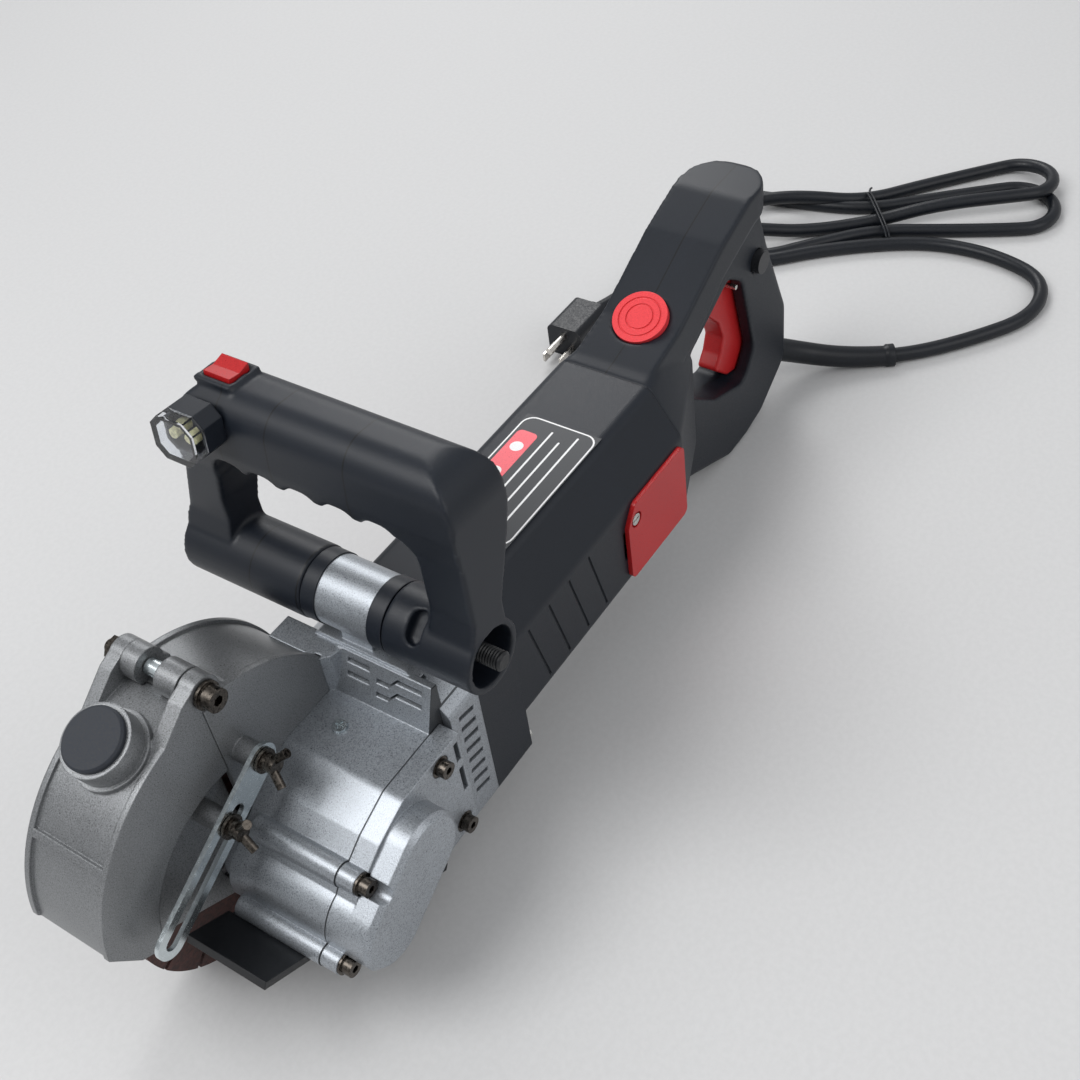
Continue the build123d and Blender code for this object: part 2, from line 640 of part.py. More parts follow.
def motor_housing():
    shell = prism_x(motor_face(), FLANGE_X1 + 22, MOTOR_END)
    shell += prism_x(flange_face(), FLANGE_X1, 131)
    shell -= prism_x(motor_face(MOTOR_WALL), FLANGE_X1 + 22, MOTOR_END + 1)
    shell -= prism_x(flange_face(3.5), FLANGE_X1 - 1, FLANGE_X1 + 22)
    for x in (150, 168, 186, 204):
        for side in (-1, 1):
            near = MOTOR_Y + side * 45
            shell -= Pos(x, near, -2) * Rot(0, -14, 0) * Box(1.6, 1.6, 46)
    shell += prism_x(motor_face(1.0), 284, 288) - rod_x(MOTOR_Y, MOTOR_Z, 10, 280, 296)
    shell -= rod_x(MOTOR_Y, MOTOR_Z, 10, 285, 294)
    for side in (-1, 1):
        y = MOTOR_Y + side * 45
        shell -= block(230, 290, min(y, y - side * 12), max(y, y - side * 12), -12, 8)
    return shell


def flange_screws():
    """Two screws behind the motor housing's flange and one on each shoulder."""
    screws = []
    for y, z in ((-62, -50), (20, -50)):
        screws.append(rod_x(y, z, 3.2, 131, 134.5) - block(133.5, 135, y - 3, y + 3, z - 0.5, z + 0.5))
    for side in (-1, 1):
        seat = Plane(origin=(134, MOTOR_Y + side * 40.5, 31.1), x_dir=(1, 0, 0), z_dir=(0, side * 28, 18))
        screws.append(extrude(seat * Circle(3.2), 2.8) - extrude(seat.offset(2) * Rectangle(7, 1), 2))
    return screws


def armature_core():
    core = ring_x(MOTOR_Y, MOTOR_Z, 22, 6.0, 172, 236)
    slots = []
    for index in range(12):
        slot = Pos(204, 0, 20.5) * Box(70, 2.0, 5)
        slots.append(Pos(0, MOTOR_Y, MOTOR_Z) * Rot(index * 30, 0, 0) * slot)
    return core - slots


def commutator():
    body = ring_x(MOTOR_Y, MOTOR_Z, 14, 6.0, 252, 272)
    slots = []
    for index in range(24):
        slot = Pos(262, 0, 13.8) * Box(24, 0.6, 1.4)
        slots.append(Pos(0, MOTOR_Y, MOTOR_Z) * Rot(index * 15, 0, 0) * slot)
    return body - slots


def cooling_fan():
    fan = ring_x(MOTOR_Y, MOTOR_Z, 12, 6.0, 104, 118) + ring_x(MOTOR_Y, MOTOR_Z, 38, 6.0, 115.5, 118)
    blades = []
    for index in range(11):
        blade = Pos(110, 0, 24) * Rot(0, 0, 20) * Box(11, 1.8, 26)
        blades.append(Pos(0, MOTOR_Y, MOTOR_Z) * Rot(index * 360 / 11, 0, 0) * blade)
    fan += blades
    return fan & ring_x(MOTOR_Y, MOTOR_Z, 38, 6.0, 104, 118)


def stator():
    lamination = prism_x(offset(motor_face(MOTOR_WALL), 0), 170, 238)
    return lamination & ring_x(MOTOR_Y, MOTOR_Z, 41, 23.0, 165, 245)


def brush_holders():
    holders = []
    for side in (-1, 1):
        near, far = sorted((MOTOR_Y + side * 15, MOTOR_Y + side * 41.5))
        tube = block(255, 269, near, far, MOTOR_Z - 7.5, MOTOR_Z + 7.5)
        holders.append(tube - block(257, 267, near - 1, far + 1, MOTOR_Z - 5, MOTOR_Z + 5))
    return joined(holders)


def carbon_brushes():
    brushes = []
    for side in (-1, 1):
        near, far = sorted((MOTOR_Y + side * 14.3, MOTOR_Y + side * 29))
        brushes.append(block(257.2, 266.8, near, far, MOTOR_Z - 4.8, MOTOR_Z + 4.8))
    return joined(brushes)


def brush_springs():
    springs = []
    for side in (-1, 1):
        near, far = sorted((MOTOR_Y + side * 29, MOTOR_Y + side * 41))
        spring = ring_y(262, MOTOR_Z, 4.2, 2.6, near, far)
        springs.append(spring)
    return joined(springs)


def brush_cover(side):
    """A red side panel over the carbon brush, with its screw recess at the front."""
    surface = MOTOR_Y + side * 45
    near, far = sorted((surface, surface + side * 2.6))
    face = rounded([(232, -27), (232, 10), (240, 22), (290, 22), (290, -27)], 4)
    plate = prism_y(face, near, far)
    mouth = rod_y(240, 11, 4.6, near - 1, far + 1)
    plate -= mouth
    floor_near, floor_far = sorted((surface, surface + side * 0.8))
    plate += rod_y(240, 11, 4.6, floor_near, floor_far) - rod_y(240, 11, 1.8, -90, 60)
    return plate


def brush_cover_screws():
    screws = []
    for side in (-1, 1):
        surface = MOTOR_Y + side * 45
        near, far = sorted((surface + side * 0.8, surface + side * 2.4))
        screw = rod_y(240, 11, 3.4, near, far)
        slot_near, slot_far = sorted((surface + side * 1.6, surface + side * 3))
        screw -= block(237, 243, slot_near, slot_far, 10.5, 11.5)
        screws.append(screw)
    return screws


def label_plate():
    """A thin plate on the flat top of the motor housing."""
    plate = prism_z([(160, -47), (247, -47), (247, -2), (160, -2)], 52, 52.5)
    return plate


# ---- rear handle ----
POST_PROFILE = [(292, 40), (331, 50), (380, 74), (430, 82), (440, 72), (450, 41), (474, -19), (474, -62),
                (440, -84), (418, -88.5), (396, -88.5), (355, -70), (330, -60), (292, -54)]
POST_RADII = [1, 20, 30, 6, 8, 30, 16, 16, 16, 8, 12, 14, 20, 1]
TONGUE_PROFILE = [(294, 34), (294, 51.5), (331, 60), (380, 83), (412, 93), (446, 93), (446, 78), (416, 74),
                  (380, 62), (345, 40)]
TONGUE_RADII = [1, 1, 20, 30, 20, 5, 5, 20, 20, 10]
REAR_OPENING = [(350, -4), (353, 24), (400, 46), (416, 34), (430, -24), (416, -42), (380, -28)]
REAR_OPENING_RADII = [8, 10, 8, 12, 10, 10, 14]
TRIGGER_OUTLINE = [(404, 40), (392, 22), (404, 9), (409, -5), (405, -15), (398, -23), (412, -36), (426, -40),
                   (438, -28), (431, 4), (419, 34)]
TRIGGER_PIVOT = (412, 32)
TRIGGER_HALF = 6.5
LOCK_CENTRE = (434, 37)
CAP_PLANE = Plane(origin=(331, MOTOR_Y, 61), x_dir=(0, 1, 0), z_dir=(-0.42, 0, 0.91))
CAP_R = 15.5


def bevelled(profile, half, edge):
    """An X and Z outline made solid about the motor's centre plane, with bevelled sides."""
    body = prism_y(profile, MOTOR_Y - half + edge, MOTOR_Y + half - edge)
    for side in (-1, 1):
        plane = Plane(origin=(0, MOTOR_Y + side * (half - edge), 0), x_dir=(1, 0, 0), z_dir=(0, side, 0))
        flat = profile if side < 0 else mirror(profile, Plane.XZ)
        body += extrude(plane * flat, edge, taper=45)
    return body


def tongue():
    """The wide top of the handle with its round end."""
    plan = block(280, TONGUE_END, MOTOR_Y - TONGUE_HALF, MOTOR_Y + TONGUE_HALF, 0, 120)
    plan += Pos(TONGUE_END, MOTOR_Y, 60) * Cylinder(TONGUE_HALF, 120)
    arch = prism_y(rounded(TONGUE_PROFILE, TONGUE_RADII), MOTOR_Y - TONGUE_HALF, MOTOR_Y + TONGUE_HALF)
    return arch & plan


def rear_outer():
    post = bevelled(rounded(POST_PROFILE, POST_RADII), POST_HALF, POST_EDGE)
    return post + tongue() + collar_loft(0)


def collar_loft(shrink):
    """The collar narrows from the motor's section to the grip's width."""
    start = Plane(origin=(MOTOR_END, 0, 0), x_dir=(0, 1, 0), z_dir=(1, 0, 0))
    front = start * motor_face(shrink)
    w, top, low = 22 - shrink, 58 - shrink, -62 + shrink
    rear_points = [(-w, -30), (-w, 30), (-w + 8, top), (w - 8, top),
                   (w, 30), (w, -30), (w - 8, low), (-w + 8, low)]
    rear = start.offset(54) * rounded(shifted(rear_points, MOTOR_Y), 5)
    return loft([front, rear])


def rear_shell():
    outer = rear_outer()
    opening = rounded(REAR_OPENING, REAR_OPENING_RADII)
    shell = outer - prism_y(opening, -120, 80)
    shell -= block(448, 466, MOTOR_Y - 9, MOTOR_Y + 9, -56, -22)
    shell -= collar_loft(3.5) & block(280, 330, -100, 60, -100, 120)
    shell -= prism_y(trigger_sweep(0.6), MOTOR_Y - TRIGGER_HALF - 0.5, MOTOR_Y + TRIGGER_HALF + 0.5)
    shell -= rod_y(*TRIGGER_PIVOT, 1.5, MOTOR_Y - 14, MOTOR_Y + 14)
    shell -= rod_y(*LOCK_CENTRE, 7.0 + FIT, -60, -27)
    shell -= rod_y(*LOCK_CENTRE, 3.5, -28, -24)
    shell -= extrude(CAP_PLANE.offset(-2.0) * Circle(CAP_R), 8)
    outlet = Vector(*CORD_ROUTE[1]) - Vector(*CORD_ROUTE[0])
    hole = Plane(origin=CORD_ROUTE[0], z_dir=outlet.normalized())
    shell -= extrude(hole.offset(-25) * Circle(8.2), 50)
    return shell


def trigger_sweep(clear):
    """The outline that the trigger covers over its whole travel."""
    face = outline(TRIGGER_OUTLINE)
    swept = offset(face, clear)
    for turn in (2, 4, 6, 8):
        x, z = TRIGGER_PIVOT
        swept += offset(Pos(x, z) * Rot(0, 0, turn) * Pos(-x, -z) * face, clear)
    return swept


def rear_handle_near():
    return rear_shell() & block(280, 520, -120, MOTOR_Y, -120, 140)


def rear_handle_far():
    return rear_shell() & block(280, 520, MOTOR_Y, 80, -120, 140)


def handle_cap():
    """The round cap on the handle's top, with two ring grooves."""
    cap = extrude(CAP_PLANE.offset(-2.0) * Circle(CAP_R), 4.8)
    for radius in (12.2, 8.0):
        cap -= extrude(CAP_PLANE.offset(2.1) * (Circle(radius) - Circle(radius - 0.9)), 2)
    return cap


def trigger():
    body = prism_y(rounded(TRIGGER_OUTLINE, 2.5), MOTOR_Y - TRIGGER_HALF, MOTOR_Y + TRIGGER_HALF)
    return body - rod_y(*TRIGGER_PIVOT, 1.5 + FIT, -60, 20)


def trigger_pin():
    return rod_y(*TRIGGER_PIVOT, 1.5, MOTOR_Y - 14, MOTOR_Y + 14)


def lock_button():
    x, z = LOCK_CENTRE
    return rod_y(x, z, 7.0, -41.5, -30) + rod_y(x, z, 3.0, -30, -27.2)


def switch_body():
    return block(451, 465.5, MOTOR_Y - 8, MOTOR_Y + 8, -55, -24)


# ---- mains cord ----
CORD_Z = FLOOR + CORD_R
CORD_ROUTE = [(470, -21, -58), (490, -33, -72), (507, -60, -80.5), (531, -95, CORD_Z), (564, -126, CORD_Z),
              (604, -154, CORD_Z), (645, -147, CORD_Z), (659, -107, CORD_Z), (657, -66, CORD_Z),
              (642, -32, CORD_Z)]
LEAD_ROUTE = [(592, 95, CORD_Z), (579, 110, CORD_Z), (560, 116, CORD_Z), (537, 112, CORD_Z),
              (507, 105, -80), (478, 113, -77)]
HANK_CENTRE = (669, -7)
HANK_ANGLE = -52.1
HANK_HEIGHT = 17.0
HANK_OUTLINE = [(-133, -14), (-133, 22), (-112, 46), (-66, 50), (-8, 22), (14, 22), (62, 42), (112, 42),
                (136, 24), (136, -14), (112, -40), (62, -40), (14, -32), (-8, -32), (-66, -44), (-112, -40)]
PLUG_X, PLUG_Y, PLUG_Z = 455.0, 113.0, -76.5


def route_radii(route):
    """The largest arc that each corner's two runs allow."""
    radii = []
    for before, corner, after in zip(route, route[1:], route[2:]):
        run_in = Vector(*corner) - Vector(*before)
        run_out = Vector(*after) - Vector(*corner)
        half_turn = math.radians(run_in.get_angle(run_out) / 2)
        radii.append(0.45 * min(run_in.length, run_out.length) / math.tan(half_turn))
    return radii


def cord_tube(route, radius):
    radii = route_radii(route)
    path = FilletPolyline(*route, radius=radii)
    section = Plane(origin=path @ 0, z_dir=path % 0) * Circle(radius)
    tube = sweep(section, path=path)
    expected = math.pi * radius ** 2 * path.length
    print("radii", [round(r, 1) for r in radii], "length", round(path.length, 1))
    print("volume over section times length", round(tube.volume / expected, 4))
    return tube


def cord_sleeve():
    """The moulded strain relief: a ribbed taper that ends in a collar."""
    route = CORD_ROUTE[:4]
    path = FilletPolyline(*route, radius=route_radii(route))
    sleeve = sweep(Plane(origin=path @ 0, z_dir=path % 0) * Circle(7.0), path=path)
    for start, end, radius in ((0.0, 0.10, 8.2), (0.94, 1.0, 8.2)):
        run = (path @ end) - (path @ start)
        plane = Plane(origin=path @ start, z_dir=run.normalized())
        sleeve += extrude(plane * Circle(radius if start else 6.5), run.length)
    return sleeve & block(440, 700, -200, 100, FLOOR, 0)


def cord():
    return cord_tube(CORD_ROUTE, CORD_R)


def plug_lead():
    return cord_tube(LEAD_ROUTE, CORD_R)


def cord_hank():
    """The outer shape of the cord's folded turns, drawn in by the tie at the middle."""
    face = rounded(HANK_OUTLINE, 14)
    place = Pos(*HANK_CENTRE) * Rot(0, 0, HANK_ANGLE)
    return extrude(Plane.XY.offset(FLOOR) * place * face, HANK_HEIGHT, dir=(0, 0, 1))


def cord_tie():
    """A twisted wire tie round the middle of the turns."""
    band = Box(3.0, 58, HANK_HEIGHT + 3) - Box(5.0, 55, HANK_HEIGHT)
    place = Pos(*HANK_CENTRE) * Rot(0, 0, HANK_ANGLE) * Pos(3, -5, 0)
    tie = Pos(0, 0, FLOOR + HANK_HEIGHT / 2) * place * band
    return tie & block(440, 900, -200, 200, FLOOR, 0)


def plug_body():
    body = Pos(PLUG_X, PLUG_Y, PLUG_Z) * Box(34, 27, 23.9)
    body = fillet(body.edges().filter_by(Axis.X), 5)
    neck = rod_x(PLUG_Y, PLUG_Z, 7.0, PLUG_X + 17, PLUG_X + 23)
    return body + neck


def plug_pins():
    """Two flat blades and a round earth pin."""
    front = PLUG_X - 17
    blades = [block(front - 17, front, PLUG_Y + y - 0.8, PLUG_Y + y + 0.8, PLUG_Z - 6.5, PLUG_Z - 0.2)
              for y in (-6.4, 6.4)]
    return joined([*blades, rod_x(PLUG_Y, PLUG_Z + 5.4, 2.4, front - 19, front)])


# ---- write the nodes ----
NODES = {
    "gear_housing": gear_housing,
    "fixed_guard": fixed_guard,
    "gear_cover": gear_cover,
    "gear_cover_bolts": gear_cover_bolts,
    "oil_plug_screw": oil_plug_screw,
    "front_guard": front_guard,
    "dust_port_plug": dust_port_plug,
    "hinge_bolt": hinge_bolt,
    "hinge_nut": hinge_nut,
    "depth_strut": depth_strut,
    "strut_wing_bolt": lambda: wing_bolt(STRUT_X, STRUT_Z, 2.0, 60),
    "guard_wing_bolt": lambda: wing_bolt(STUD_X, STUD_Z, 1.6, 85),
    "base_plate": base_plate,
    "base_plate_screws": base_plate_screws,
    "saw_blades": saw_blades,
    "blade_spacers": blade_spacers,
    "blade_flanges": blade_flanges,
    "spindle_nut": spindle_nut,
    "spindle": spindle,
    "spindle_gear": spindle_gear,
    "intermediate_gear": intermediate_gear,
    "intermediate_shaft": intermediate_shaft,
    "crown_gear": crown_gear,
    "motor_pinion": motor_pinion,
    "gearbox_bearings": gearbox_bearings,
    "motor_bearings": motor_bearings,
    "armature_shaft": armature_shaft,
    "armature_core": armature_core,
    "commutator": commutator,
    "cooling_fan": cooling_fan,
    "stator": stator,
    "brush_holders": brush_holders,
    "carbon_brushes": carbon_brushes,
    "brush_springs": brush_springs,
    "motor_housing": motor_housing,
    "housing_screws": lambda: joined([*flange_screws(), *brush_cover_screws()]),
    "brush_covers": lambda: joined(brush_cover(side) for side in (-1, 1)),
    "label_plate": label_plate,
    "index_rings": index_rings,
    "clamp_stud": clamp_stud,
    "clamp_nuts": clamp_nuts,
    "aux_handle": aux_handle,
    "lamp_housing": lamp_housing,
    "lamp_lens": lamp_lens,
    "lamp_leds": lamp_leds,
    "lamp_rocker": lamp_rocker,
    "rear_handle_near": rear_handle_near,
    "rear_handle_far": rear_handle_far,
    "handle_cap": handle_cap,
    "trigger": trigger,
    "trigger_pin": trigger_pin,
    "lock_button": lock_button,
    "switch_body": switch_body,
    "cord_sleeve": cord_sleeve,
    "cord": cord,
    "cord_hank": cord_hank,
    "cord_tie": cord_tie,
    "plug_lead": plug_lead,
    "plug_body": plug_body,
    "plug_pins": plug_pins,
}

os.makedirs("parts", exist_ok=True)
for name, make in NODES.items():
    export_step(Pos(*FRAME) * make(), f"parts/{name}.step")
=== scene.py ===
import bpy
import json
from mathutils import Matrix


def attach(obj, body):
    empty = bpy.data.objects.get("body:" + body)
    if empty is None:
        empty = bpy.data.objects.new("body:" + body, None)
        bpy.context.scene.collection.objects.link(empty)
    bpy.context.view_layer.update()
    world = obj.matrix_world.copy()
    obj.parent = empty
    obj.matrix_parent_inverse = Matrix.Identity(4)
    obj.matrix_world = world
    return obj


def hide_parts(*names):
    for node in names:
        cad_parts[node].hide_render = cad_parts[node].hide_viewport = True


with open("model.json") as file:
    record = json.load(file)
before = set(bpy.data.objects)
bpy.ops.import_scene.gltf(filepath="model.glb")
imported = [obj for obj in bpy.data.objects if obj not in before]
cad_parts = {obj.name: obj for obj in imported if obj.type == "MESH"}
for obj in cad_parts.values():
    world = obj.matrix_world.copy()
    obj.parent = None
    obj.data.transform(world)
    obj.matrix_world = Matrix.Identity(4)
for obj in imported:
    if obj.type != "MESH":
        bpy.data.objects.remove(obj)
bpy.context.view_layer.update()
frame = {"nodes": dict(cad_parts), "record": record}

import json
import math

import bmesh
import bpy
from mathutils import Matrix, Vector

# Lengths are millimetres from the centre of the round blade guard, and place() turns them
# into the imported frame's metres.
SHIFT = Vector((-195.56, 8.0, 88.5))
FLOOR_Z = -88.5
CORD_R = 4.75
CORD_Z = FLOOR_Z + CORD_R


def place(x, y, z):
    return (Vector((x, y, z)) + SHIFT) / 1000


# ---- materials ----
def new_material(name):
    material = bpy.data.materials.new(name)
    material.use_nodes = True
    nodes = material.node_tree.nodes
    return material, nodes, material.node_tree.links, nodes["Principled BSDF"]


def noise(nodes, links, coords, scale, detail=2.0, roughness=0.5):
    node = nodes.new("ShaderNodeTexNoise")
    node.inputs["Scale"].default_value = scale
    node.inputs["Detail"].default_value = detail
    node.inputs["Roughness"].default_value = roughness
    links.new(coords.outputs["Object"], node.inputs["Vector"])
    return node


def ramp(nodes, links, source, stops):
    node = nodes.new("ShaderNodeValToRGB")
    links.new(source, node.inputs["Fac"])
    elements = node.color_ramp.elements
    while len(elements) < len(stops):
        elements.new(0.5)
    for element, (position, color) in zip(elements, stops):
        element.position = position
        element.color = (*color, 1)
    return node


def shade(color, factor):
    return tuple(min(1.0, channel * factor) for channel in color)


def groove_mask(nodes, links, coords, lines):
    """One on each thin plane (axis, place in the row frame in metres, half width), else zero."""
    split = nodes.new("ShaderNodeSeparateXYZ")
    links.new(coords.outputs["Object"], split.inputs["Vector"])
    total = None
    for axis, at, half in lines:
        near = nodes.new("ShaderNodeMath")
        near.operation = "COMPARE"
        links.new(split.outputs[axis], near.inputs[0])
        near.inputs[1].default_value = at
        near.inputs[2].default_value = half
        if total is None:
            total = near
            continue
        both = nodes.new("ShaderNodeMath")
        both.operation = "MAXIMUM"
        links.new(total.outputs[0], both.inputs[0])
        links.new(near.outputs[0], both.inputs[1])
        total = both
    return total


def finish(name, color, metallic=0.0, roughness=0.5, grain=900, contrast=0.15, bump=0.15,
           depth=0.00006, rough_swing=0.12, edge=0.0006, coat=0.0, dirt=0.0, lines=(),
           reflect=0.5):
    """A procedural surface: fine grain in colour, gloss and relief, with softened edges."""
    material, nodes, links, bsdf = new_material(name)
    coords = nodes.new("ShaderNodeTexCoord")
    fine = noise(nodes, links, coords, grain, 3.0, 0.6)
    broad = noise(nodes, links, coords, 14, 4.0, 0.6)
    tones = ramp(nodes, links, fine.outputs["Fac"],
                 [(0.36, shade(color, 1 - contrast)), (0.50, color), (0.64, shade(color, 1 + contrast))])
    mix = nodes.new("ShaderNodeMix")
    mix.data_type = "RGBA"
    mix.blend_type = "MULTIPLY"
    mix.inputs["Factor"].default_value = 1.0
    links.new(tones.outputs["Color"], mix.inputs["A"])
    patches = ramp(nodes, links, broad.outputs["Fac"],
                   [(0.30, (1 - dirt,) * 3), (0.60, (1.0,) * 3)])
    links.new(patches.outputs["Color"], mix.inputs["B"])
    paint = mix
    if lines:
        mask = groove_mask(nodes, links, coords, lines)
        paint = nodes.new("ShaderNodeMix")
        paint.data_type = "RGBA"
        links.new(mask.outputs[0], paint.inputs["Factor"])
        links.new(mix.outputs["Result"], paint.inputs["A"])
        paint.inputs["B"].default_value = (*shade(color, 0.18), 1)
    links.new(paint.outputs["Result"], bsdf.inputs["Base Color"])
    bsdf.inputs["Metallic"].default_value = metallic
    gloss = nodes.new("ShaderNodeMapRange")
    gloss.inputs["From Min"].default_value = 0.3
    gloss.inputs["From Max"].default_value = 0.7
    gloss.inputs["To Min"].default_value = max(0.03, roughness - rough_swing)
    gloss.inputs["To Max"].default_value = roughness + rough_swing
    links.new(fine.outputs["Fac"], gloss.inputs["Value"])
    links.new(gloss.outputs["Result"], bsdf.inputs["Roughness"])
    relief = nodes.new("ShaderNodeBump")
    relief.inputs["Strength"].default_value = bump
    relief.inputs["Distance"].default_value = depth
    links.new(fine.outputs["Fac"], relief.inputs["Height"])
    if edge:
        soft = nodes.new("ShaderNodeBevel")
        soft.samples = 4
        soft.inputs["Radius"].default_value = edge
        links.new(soft.outputs["Normal"], relief.inputs["Normal"])
    links.new(relief.outputs["Normal"], bsdf.inputs["Normal"])
    bsdf.inputs["Coat Weight"].default_value = coat
    bsdf.inputs["Specular IOR Level"].default_value = reflect
    return material


def clear_plastic(name):
    material, nodes, links, bsdf = new_material(name)
    coords = nodes.new("ShaderNodeTexCoord")
    fine = noise(nodes, links, coords, 300, 1.0)
    bsdf.inputs["Base Color"].default_value = (0.93, 0.95, 0.98, 1)
    bsdf.inputs["Transmission Weight"].default_value = 1.0
    bsdf.inputs["Roughness"].default_value = 0.05
    bsdf.inputs["IOR"].default_value = 1.49
    relief = nodes.new("ShaderNodeBump")
    relief.inputs["Strength"].default_value = 0.15
    relief.inputs["Distance"].default_value = 0.0003
    links.new(fine.outputs["Fac"], relief.inputs["Height"])
    links.new(relief.outputs["Normal"], bsdf.inputs["Normal"])
    return material


def row_y(y):
    return (y + SHIFT.y) / 1000


# Seams are thin dark planes: places in Y, and half a width in metres.
MOTOR_Y = -21
COVER_SEAM = -62
FRONT_HANDLE_SEAMS = (36, 8, -34)
COVER_SEAM_HALF = 0.00035
SEAM_HALF = 0.0004

CASTING = dict(metallic=0.70, roughness=0.37, grain=1700, contrast=0.26, bump=0.5, depth=0.00016,
               edge=0.0011, dirt=0.14)
SILVER = finish("silver_casting", (0.36, 0.385, 0.415), lines=[("Y", row_y(COVER_SEAM), COVER_SEAM_HALF)],
                **CASTING)
GUARD_SILVER = finish("guard_casting", (0.250, 0.258, 0.266), **CASTING)
MOULDED = dict(roughness=0.44, grain=2600, contrast=0.25, bump=0.35, depth=0.00008, edge=0.0009, dirt=0.15,
               reflect=0.36)
PLASTIC_BLACK = (0.0078, 0.0110, 0.0175)
BLACK = finish("black_plastic", PLASTIC_BLACK, **MOULDED)
REAR_BLACK = finish("rear_handle_plastic", PLASTIC_BLACK, lines=[("Y", row_y(MOTOR_Y), SEAM_HALF)], **MOULDED)
FRONT_BLACK = finish("front_handle_plastic", PLASTIC_BLACK,
                     lines=[("Y", row_y(y), SEAM_HALF) for y in FRONT_HANDLE_SEAMS], **MOULDED)
MATERIALS = {
    "silver_casting": SILVER,
    "black_plastic": BLACK,
    "zinc_plate": finish("zinc_plate", (0.66, 0.72, 0.74), metallic=1.0, roughness=0.24, grain=500,
                         contrast=0.05, bump=0.02, rough_swing=0.04, edge=0.0, dirt=0.06),
    "dark_bolt": finish("dark_bolt", (0.10, 0.088, 0.076), metallic=1.0, roughness=0.30, grain=700,
                        contrast=0.4, bump=0.3, edge=0.0004, dirt=0.4),
    "bright_screw": finish("bright_screw", (0.70, 0.69, 0.66), metallic=1.0, roughness=0.28, grain=600,
                           contrast=0.12, edge=0.0003, dirt=0.2),
    "black_steel": finish("black_steel", (0.006, 0.007, 0.009), metallic=0.1, roughness=0.40, grain=700,
                          contrast=0.3, bump=0.3, edge=0.0006, dirt=0.3),
    "rubber_plug": finish("rubber_plug", (0.014, 0.018, 0.026), roughness=0.62, grain=1500,
                          contrast=0.3, bump=0.5, edge=0.0006),
    "blade_steel": finish("blade_steel", (0.075, 0.034, 0.030), metallic=0.35, roughness=0.50, grain=500,
                          contrast=0.45, bump=0.6, depth=0.0003, edge=0.0003, dirt=0.5),
    "machined_steel": finish("machined_steel", (0.52, 0.52, 0.54), metallic=1.0, roughness=0.30,
                             grain=400, contrast=0.1, edge=0.0003),
    "laminations": finish("laminations", (0.25, 0.22, 0.20), metallic=0.8, roughness=0.5, grain=900,
                          contrast=0.3, edge=0.0),
    "copper": finish("copper", (0.72, 0.38, 0.22), metallic=1.0, roughness=0.3, grain=500, edge=0.0),
    "fan_plastic": finish("fan_plastic", (0.05, 0.05, 0.055), roughness=0.5, grain=900, edge=0.0),
    "carbon": finish("carbon", (0.03, 0.03, 0.03), roughness=0.6, grain=900, edge=0.0),
    "spring_steel": finish("spring_steel", (0.55, 0.55, 0.56), metallic=1.0, roughness=0.3, edge=0.0),
    "red_plastic": finish("red_plastic", (0.47, 0.014, 0.016), roughness=0.38, grain=1500, contrast=0.12,
                          bump=0.25, edge=0.0006, coat=0.05, dirt=0.12, reflect=0.35),
    "button_black": finish("button_black", (0.016, 0.017, 0.02), roughness=0.38, grain=1400, edge=0.0005),
    "label": finish("label", (0.010, 0.013, 0.018), roughness=0.36, grain=1200, contrast=0.15, bump=0.02,
                    rough_swing=0.02, edge=0.0, reflect=0.35),
    "clear_lens": clear_plastic("clear_lens"),
    "led": finish("led", (0.85, 0.80, 0.45), roughness=0.25, grain=700, edge=0.0),
    "cord_rubber": finish("cord_rubber", (0.007, 0.009, 0.013), roughness=0.40, grain=900, contrast=0.3,
                          bump=0.35, edge=0.0, dirt=0.2, reflect=0.36),
    "plug_metal": finish("plug_metal", (0.74, 0.71, 0.66), metallic=1.0, roughness=0.25, grain=500,
                         edge=0.0003, dirt=0.2),
}
CAP_RED = finish("cap_red", (0.80, 0.045, 0.055), roughness=0.42, grain=1500, contrast=0.1, bump=0.2,
                 edge=0.0005)
WHITE_INK = finish("white_ink", (0.80, 0.80, 0.80), roughness=0.4, grain=1500, contrast=0.06, edge=0.0)
RED_INK = finish("red_ink", (0.80, 0.07, 0.10), roughness=0.35, grain=1500, contrast=0.06, edge=0.0)

for part in frame["record"]["subparts"]:
    node = frame["nodes"][part["node"]]
    node.data.materials.clear()
    node.data.materials.append(MATERIALS[part["material_slot"]])
frame["nodes"]["handle_cap"].data.materials[0] = CAP_RED
for name in ("front_guard", "fixed_guard"):
    frame["nodes"][name].data.materials[0] = GUARD_SILVER


# ---- mesh helpers ----
def link(name, mesh, material, body):
    piece = bpy.data.objects.new(name, mesh)
    bpy.context.scene.collection.objects.link(piece)
    mesh.materials.clear()
    mesh.materials.append(material)
    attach(piece, body)
    return piece


def mesh_from(name, build):
    mesh = bpy.data.meshes.new(name)
    shape = bmesh.new()
    build(shape)
    bmesh.ops.recalc_face_normals(shape, faces=shape.faces)
    for face in shape.faces:
        face.smooth = True
    shape.to_mesh(mesh)
    shape.free()
    return mesh


def apply_modifiers(piece):
    depsgraph = bpy.context.evaluated_depsgraph_get()
    mesh = bpy.data.meshes.new_from_object(piece.evaluated_get(depsgraph))
    piece.modifiers.clear()
    old = piece.data
    piece.data = mesh
    bpy.data.meshes.remove(old)
    for polygon in mesh.polygons:
        polygon.use_smooth = True


